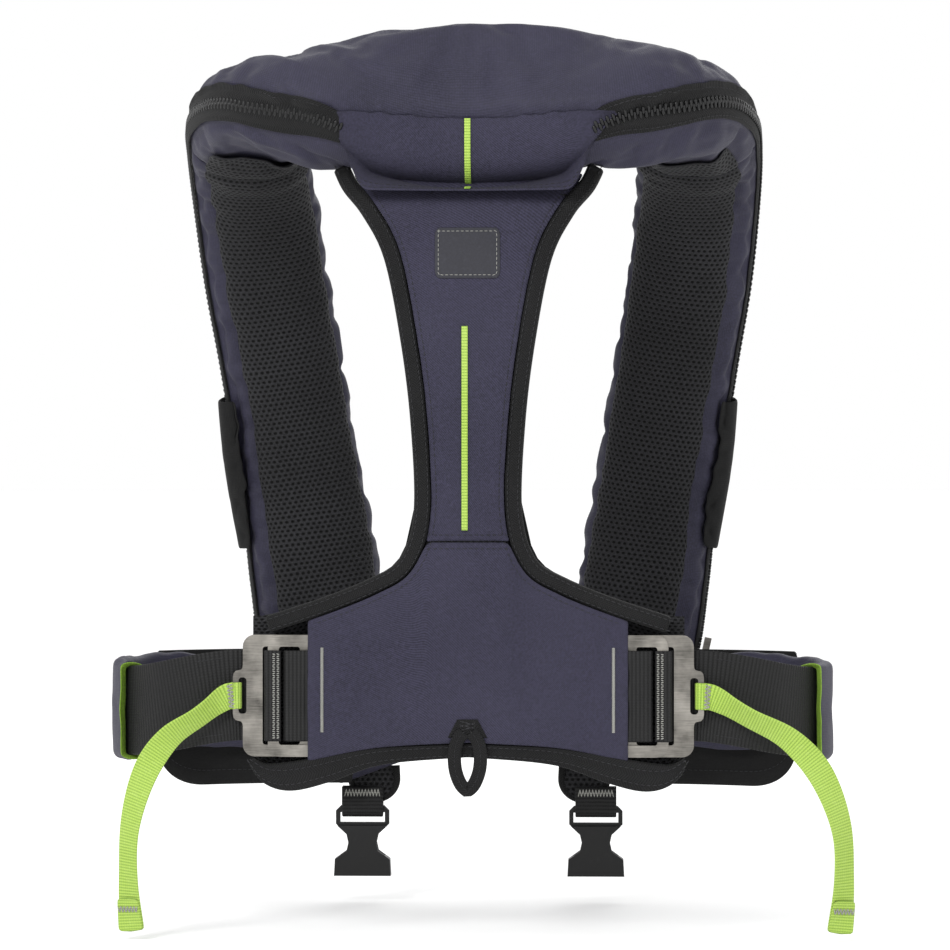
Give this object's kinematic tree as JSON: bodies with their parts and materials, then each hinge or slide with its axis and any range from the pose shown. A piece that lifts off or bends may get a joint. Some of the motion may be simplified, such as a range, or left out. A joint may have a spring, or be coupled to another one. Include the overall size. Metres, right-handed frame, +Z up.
{
  "type": "inflatable life jacket",
  "caption": "Worn-shape inflatable life jacket: padded neck collar and front lobes, narrow back yoke, waist belt with steel slide adjusters, pull straps and crotch strap buckles.",
  "frame": {"origin": "behind the neck on the symmetry plane, at the height where the collar meets the back yoke and rests on the wearer", "axes": "+X to the wearer's right, +Y to the wearer's front, +Z up"},
  "size_m": [0.4188, 0.2527, 0.4998],
  "materials": {
    "navy_fabric": "matt woven",
    "black_fabric": "matt tape and padded cloth",
    "spacer_mesh": "open knit",
    "black_webbing": "ribbed webbing",
    "lime_webbing": "bright woven webbing",
    "lime_lining": "smooth lining",
    "grey_trim": "reflective grey",
    "bladder_fabric": "coated, folded",
    "steel": "punched, satin",
    "black_plastic": "moulded, fine grain"
  },
  "bodies": {
    "jacket": {"collar_cover": "navy_fabric", "lobe_cover_left": "navy_fabric", "lobe_cover_right": "navy_fabric", "collar_flap": "navy_fabric", "yoke_face_upper": "navy_fabric", "yoke_face_base": "navy_fabric", "sleeve_left": "navy_fabric", "sleeve_right": "navy_fabric", "zip_left": "black_fabric", "zip_right": "black_fabric", "side_tab_left": "black_fabric", "side_tab_right": "black_fabric", "yoke_binding_left": "black_fabric", "yoke_binding_right": "black_fabric", "yoke_binding_bottom": "black_fabric", "loop_anchor": "black_fabric", "waist_pad_left": "black_fabric", "waist_pad_right": "black_fabric", "mesh_panel_left": "spacer_mesh", "mesh_panel_right": "spacer_mesh", "yoke_pad_upper": "spacer_mesh", "yoke_pad_base": "spacer_mesh", "lobe_tip_left": "spacer_mesh", "lobe_tip_right": "spacer_mesh", "belt_back": "black_webbing", "belt_left": "black_webbing", "belt_right": "black_webbing", "tether_loop": "black_webbing", "crotch_web_left": "black_webbing", "crotch_web_right": "black_webbing", "collar_stripe": "lime_webbing", "yoke_stripe": "lime_webbing", "sleeve_lining_left": "lime_lining", "sleeve_lining_right": "lime_lining", "blank_patch": "grey_trim", "bartack_left": "grey_trim", "bartack_right": "grey_trim", "bladder": "bladder_fabric", "adjuster_inner_left": "steel", "adjuster_inner_right": "steel", "gas_cylinder": "steel", "inflator_head": "black_plastic", "oral_tube": "black_plastic", "whistle": "black_plastic", "front_buckle_female": "black_plastic"},
    "adjuster_left": {"adjuster_outer_left": "steel"},
    "adjuster_right": {"adjuster_outer_right": "steel"},
    "strap_left": {"pull_strap_left": "lime_webbing"},
    "strap_right": {"pull_strap_right": "lime_webbing"},
    "crotch_left": {"crotch_buckle_left": "black_plastic"},
    "crotch_right": {"crotch_buckle_right": "black_plastic"},
    "tape_loop": {"back_loop": "black_fabric"},
    "buckle_insert": {"front_buckle_male": "black_plastic"},
    "slider_left": {"zip_slider_left": "steel"},
    "slider_right": {"zip_slider_right": "steel"},
    "toggle": {"toggle_handle": "lime_webbing"}
  },
  "joints": [
    {"name": "adjuster_slide_left", "type": "slide", "parent": "jacket", "child": "adjuster_left", "axis": [-1, 0, 0], "range_m": [0, 0.006], "stiffness_N_per_m": 300},
    {"name": "strap_swing_left", "type": "hinge", "parent": "adjuster_left", "child": "strap_left", "pos_m": [-0.12795, -0.0965, -0.3], "axis": [0, 0, 1], "range_deg": [0, 70]},
    {"name": "crotch_buckle_swing_left", "type": "hinge", "parent": "jacket", "child": "crotch_left", "pos_m": [-0.07, 0.106, -0.379], "axis": [1, 0, 0], "range_deg": [-70, 70]},
    {"name": "zip_slide_left", "type": "slide", "parent": "jacket", "child": "slider_left", "axis": [-0.164, 0, 0.9865], "range_m": [0, 0.02]},
    {"name": "adjuster_slide_right", "type": "slide", "parent": "jacket", "child": "adjuster_right", "axis": [1, 0, 0], "range_m": [0, 0.006], "stiffness_N_per_m": 300},
    {"name": "strap_swing_right", "type": "hinge", "parent": "adjuster_right", "child": "strap_right", "pos_m": [0.12795, -0.0965, -0.3], "axis": [0, 0, -1], "range_deg": [0, 70]},
    {"name": "crotch_buckle_swing_right", "type": "hinge", "parent": "jacket", "child": "crotch_right", "pos_m": [0.07, 0.106, -0.379], "axis": [1, 0, 0], "range_deg": [-70, 70]},
    {"name": "zip_slide_right", "type": "slide", "parent": "jacket", "child": "slider_right", "axis": [0.164, 0, 0.9865], "range_m": [0, 0.02]},
    {"name": "back_loop_swing", "type": "hinge", "parent": "jacket", "child": "tape_loop", "pos_m": [0, -0.1056, -0.3162], "axis": [-1, 0, 0], "range_deg": [0, 100]},
    {"name": "front_buckle_release", "type": "slide", "parent": "jacket", "child": "buckle_insert", "axis": [1, 0, 0], "range_m": [0, 0.03]},
    {"name": "toggle_pull", "type": "slide", "parent": "jacket", "child": "toggle", "axis": [0, 0, -1], "range_m": [0, 0.045]}
  ]
}
